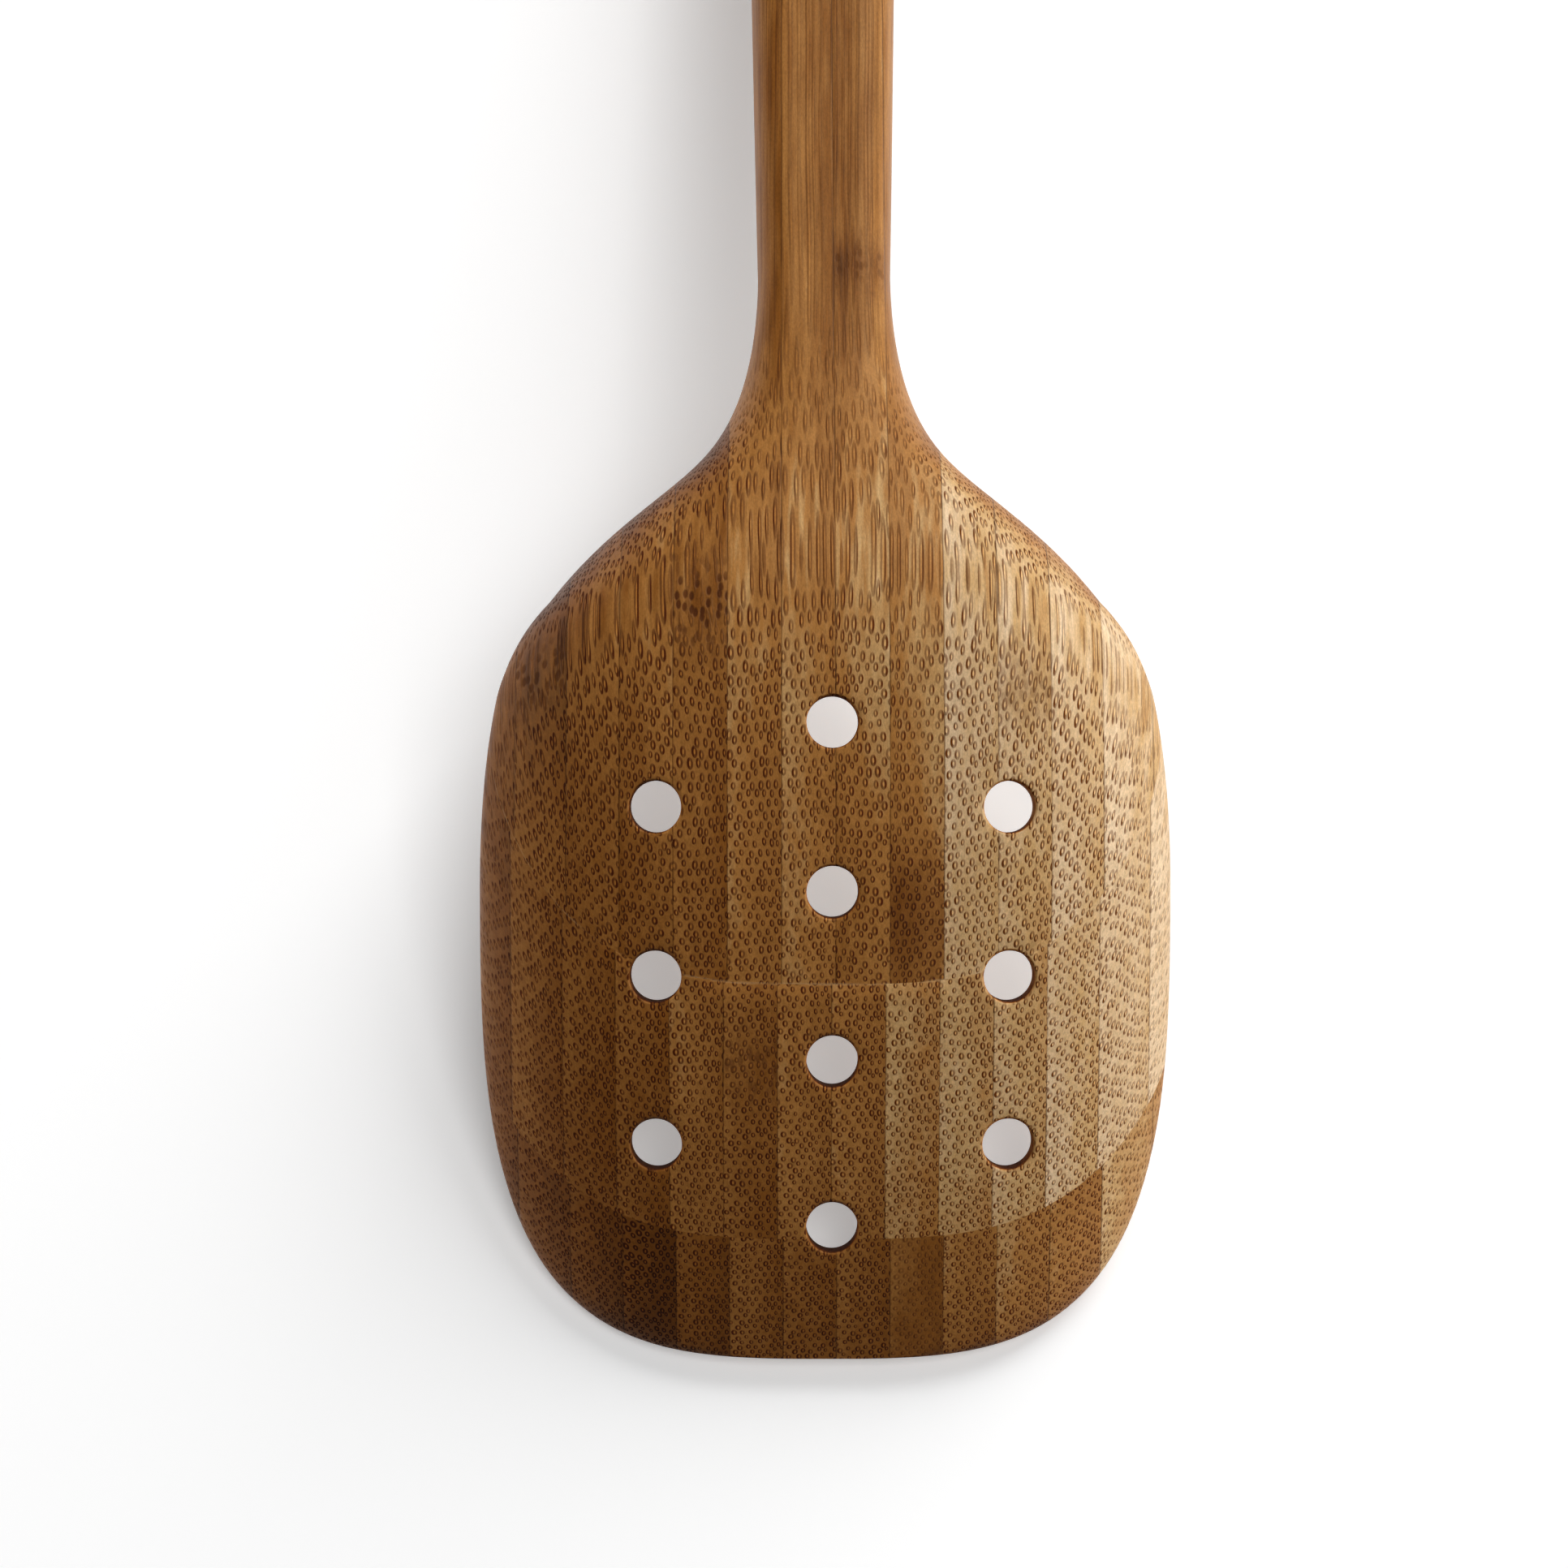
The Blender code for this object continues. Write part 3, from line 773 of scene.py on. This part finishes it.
    # Soft tone along each strip, fine fibres and the sandy ground between the bundles
    cloud = uneven(CLOUD_GRAIN, 2.0)[0]
    fibre = uneven(FIBRE_GRAIN, 3.0)[0]
    band = uneven(BAND_GRAIN, 2.0)[0]
    sand = uneven(SAND_GRAIN, 2.0, SAND_ROUGHNESS)[0]
    tone = w.sum(given["Tone"], w.times(w.sway(outer), TONE_ACROSS), w.times(w.sway(cloud), CLOUD_TONE),
                 w.times(node, NODE_DARKENING), w.times(handle, given["Handle Tone"]),
                 w.between(crossing, *ALONG_TONE),
                 w.times(w.sway(band), w.between(crossing, *BAND_TONE), w.between(handle, *BAND_ON_HANDLE)),
                 # Painted shade on the shoulders, which face the handle end
                 w.times(end_grain, END_GRAIN_TONE), w.times(shoulder, SHOULDER_PAINTED_SHADE),
                 # Painted shade towards the tip, turning to painted light where a strip's value is below zero
                 w.times(w.rest(w.step(y, *TIP_SHADE_FROM)), given["Painted Tip Shade"]))
    ground = w.ramp(w.times(tone, 1.0 / DARKEST_TONE), [(at / DARKEST_TONE, colour) for at, colour in GROUND])
    lift = w.sum(1.0, w.times(w.sway(fibre), FIBRE_LIFT), w.times(w.sway(sand), SAND_LIFT))
    ground = w.blend(1.0, ground, w.join(lift, lift, lift), 'MULTIPLY')
    # The pale slit, brightened partly as a painted highlight
    colour = w.tint(w.times(core, CORE_SHARE), ground, CORE_TINT_AND_HIGHLIGHT)
    colour = w.blend(dark, colour, w.blend(1.0, ground, SHEATH_TINT, 'MULTIPLY'))
    colour = w.tint(node, colour, NODE_TINT)

    # Glue seams show as thin broken lines: dark between strips, pale between the back and middle plies
    edge = w.math('MINIMUM', w.math('ABSOLUTE', w.math('SUBTRACT', x, left)),
                  w.math('ABSOLUTE', w.math('SUBTRACT', right, x)))
    broken = w.noise(w.join(seed, w.times(y, BROKEN_GRAIN[1]), w.times(x, BROKEN_GRAIN[0])))[0]
    broken = w.step(broken, *BROKEN_EDGE)
    seam = w.times(w.rest(w.step(edge, *SEAM_EDGE)), w.math('MULTIPLY_ADD', broken, *SEAM_SHADE))
    colour = w.tint(seam, colour, SEAM_TINT)
    ply_line = w.math('PINGPONG', z, 0.5 * MM * PLY_THICKNESS)
    glue = w.times(w.rest(w.step(ply_line, *GLUE_EDGE)), broken, GLUE_SHADE,
                   w.math('LESS_THAN', z, GLUE_STARTS),
                   w.math('GREATER_THAN', z, -1.5 * MM * PLY_THICKNESS))
    colour = w.blend(glue, colour, GLUE_COLOUR)
    drilled = w.node("ShaderNodeAttribute", attribute_name="drilled").outputs["Fac"]
    colour = w.tint(drilled, colour, DRILLED_TINT)

    rough = w.sum(ROUGHNESS, w.times(dark, SHEATH_ROUGHNESS), w.times(w.sway(fibre), FIBRE_ROUGHNESS),
                  w.times(drilled, DRILLED_ROUGHNESS))
    height = w.sum(bead, w.times(pit, PIT_HEIGHT), w.times(sand, SAND_HEIGHT), w.times(fibre, FIBRE_HEIGHT),
                   w.times(seam, SEAM_HEIGHT))
    out = w.node("NodeGroupOutput").inputs
    w.feed(out["Colour"], colour)
    w.feed(out["Roughness"], rough)
    w.feed(out["Height"], height)
    return tree


def bamboo_material(name, grain, values):
    """Sanded and oiled bamboo of one strip."""
    material = bpy.data.materials.new(name)
    material.use_nodes = True
    w = Wires(material.node_tree)
    shader = material.node_tree.nodes["Principled BSDF"]
    group = w.node("ShaderNodeGroup", node_tree=grain)
    for key, value in values.items():
        group.inputs[key].default_value = value
    w.feed(shader.inputs["Base Color"], group.outputs["Colour"])
    w.feed(shader.inputs["Roughness"], group.outputs["Roughness"])
    shader.inputs["Specular IOR Level"].default_value = SPECULAR
    shader.inputs["Specular Tint"].default_value = SPECULAR_TINT
    bump = w.node("ShaderNodeBump")
    bump.inputs["Strength"].default_value = BUMP_STRENGTH
    bump.inputs["Distance"].default_value = BUMP_DISTANCE
    w.feed(bump.inputs["Height"], group.outputs["Height"])
    w.feed(shader.inputs["Normal"], bump.outputs["Normal"])
    return material


def build_sweep(bm):
    """Round table top that curves up into a low wall all around."""
    rings = []
    for radius, height in SWEEP_PROFILE:
        angles = [2.0 * pi * step / SWEEP_SIDES for step in range(SWEEP_SIDES)]
        rings.append([bm.verts.new((radius * cos(angle), radius * sin(angle), height)) for angle in angles])
    bm.faces.new(rings[0])
    join_rings(bm, rings)


def add_floor():
    """White table and backdrop in one sweep, which keeps the shadow and looks white to the camera."""
    table = new_object("white_sweep", mesh_from("white_sweep", build_sweep), Matrix.Identity(4))
    table.data.shade_smooth()
    material = bpy.data.materials.new("white_sweep")
    material.use_nodes = True
    tree = material.node_tree
    tree.nodes.remove(tree.nodes["Principled BSDF"])
    w = Wires(tree)
    paper = w.node("ShaderNodeBsdfDiffuse")
    paper.inputs["Color"].default_value = FLOOR_COLOUR
    glow = w.node("ShaderNodeEmission")
    rays = w.node("ShaderNodeLightPath").outputs
    direct = w.sum(rays["Is Camera Ray"], rays["Is Glossy Ray"], rays["Is Transmission Ray"])
    seen = w.math('MINIMUM', direct, 1.0)
    away = w.node("ShaderNodeVectorMath", operation='LENGTH')
    w.feed(away.inputs[0], w.node("ShaderNodeTexCoord").outputs["Object"])
    level = w.between(w.step(away.outputs["Value"], *GLOW_CHANGES), FLOOR_GLOW, BACKDROP_GLOW)
    w.feed(glow.inputs["Strength"], w.times(seen, level))
    both = w.node("ShaderNodeAddShader")
    w.feed(both.inputs[0], paper.outputs[0])
    w.feed(both.inputs[1], glow.outputs[0])
    w.feed(tree.nodes["Material Output"].inputs["Surface"], both.outputs[0])
    table.data.materials.append(material)
    return table


def add_world():
    """Dim, even surroundings above the sweep."""
    world = bpy.data.worlds.new("studio")
    bpy.context.scene.world = world
    world.use_nodes = True
    background = world.node_tree.nodes["Background"]
    background.inputs["Color"].default_value = (1.0, 1.0, 1.0, 1.0)
    background.inputs["Strength"].default_value = ROOM_LIGHT


def view_axes(place):
    """The photograph's right, up and towards-the-camera directions, and the point it looks at."""
    lean = radians(VIEW_LEAN)
    turn = place.to_3x3()
    right = turn @ Vector((1.0, 0.0, 0.0))
    up = turn @ Vector((0.0, cos(lean), sin(lean)))
    towards = turn @ Vector((0.0, -sin(lean), cos(lean)))
    y, z, _ = spine(KNEE_FROM_TIP - HEAD_RADIUS * (lean - radians(KNEE_ANGLE)))
    target = place @ Vector((VIEW_SHIFT[0], y, z)) + VIEW_SHIFT[1] * up
    return right, up, towards, target


def aim(obj, place, towards, up):
    """Put an object at a place with its -Z pointing away from towards."""
    right = up.cross(towards).normalized()
    upright = towards.cross(right)
    turn = Matrix((right, upright, towards)).transposed().to_4x4()
    obj.matrix_world = Matrix.Translation(place) @ turn


def add_camera(place):
    """Camera at the photograph's angle."""
    _, up, towards, target = view_axes(place)
    camera = bpy.data.objects.new("camera", bpy.data.cameras.new("camera"))
    bpy.context.scene.collection.objects.link(camera)
    camera.data.lens = VIEW_LENS
    camera.data.sensor_width = VIEW_SENSOR
    camera.data.clip_start = VIEW_CLIP
    aim(camera, target + VIEW_DISTANCE * towards, towards, up)
    bpy.context.scene.camera = camera


def add_lamps(place, lit):
    """Lamps around the spoon, each for the spoon or for the table: lit gives the objects of both."""
    right, up, towards, target = view_axes(place)
    collections = {}
    for group, objects in lit.items():
        collections[group] = bpy.data.collections.new(group)
        for obj in objects:
            collections[group].objects.link(obj)
    for name, (rightward, upward, nearer), distance, size, power, colour, group in LAMPS:
        lamp = bpy.data.objects.new(name, bpy.data.lights.new(name, 'AREA'))
        bpy.context.scene.collection.objects.link(lamp)
        lamp.data.shape = 'RECTANGLE'
        lamp.data.size, lamp.data.size_y = size
        lamp.data.energy = power
        lamp.data.color = colour
        direction = (rightward * right + upward * up + nearer * towards).normalized()
        aim(lamp, target + distance * direction, direction, up)
        lamp.light_linking.receiver_collection = collections[group]


def ply_of(label):
    """Name of the ply that a strip belongs to."""
    return "_".join(label.split("_")[:2])


def strip_values(label, left, right):
    """Seams and looks of one strip, as the grain group takes them."""
    ply = ply_of(label)
    looks = {**USUAL_LOOKS, **STRIP_LOOKS.get(label, {})}
    middle = 0.5 * (left + right) * MM
    # Painted shade: the usual tone grows darker strip by strip towards the left, up to USUAL_DARKEST
    usual = min(PLY_TONES[ply] - LEFTWARD_PAINTED_SHADE * middle, USUAL_DARKEST)
    looks["Tone"] = usual + looks.pop("Darker")
    looks["Seed"] = SEED_PER_PLY * (1 + list(PLIES).index(ply)) + left * SEED_PER_METRE
    looks["Left Seam"] = left * MM
    looks["Right Seam"] = right * MM
    return looks


def main():
    bpy.context.scene.view_settings.view_transform = 'Standard'
    place = block_place()
    grain = grain_group(place)
    strips = carve_strips(place)
    for label, (obj, left, right) in strips.items():
        obj.data.materials.clear()
        obj.data.materials.append(bamboo_material(label + "_bamboo", grain, strip_values(label, left, right)))
        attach(obj, "root")
        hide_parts(label)
        "bamboo_" + ply_of(label)
    table = add_floor()
    add_world()
    add_lamps(place, {"spoon": [obj for obj, _, _ in strips.values()], "table": [table]})
    add_camera(place)


main()
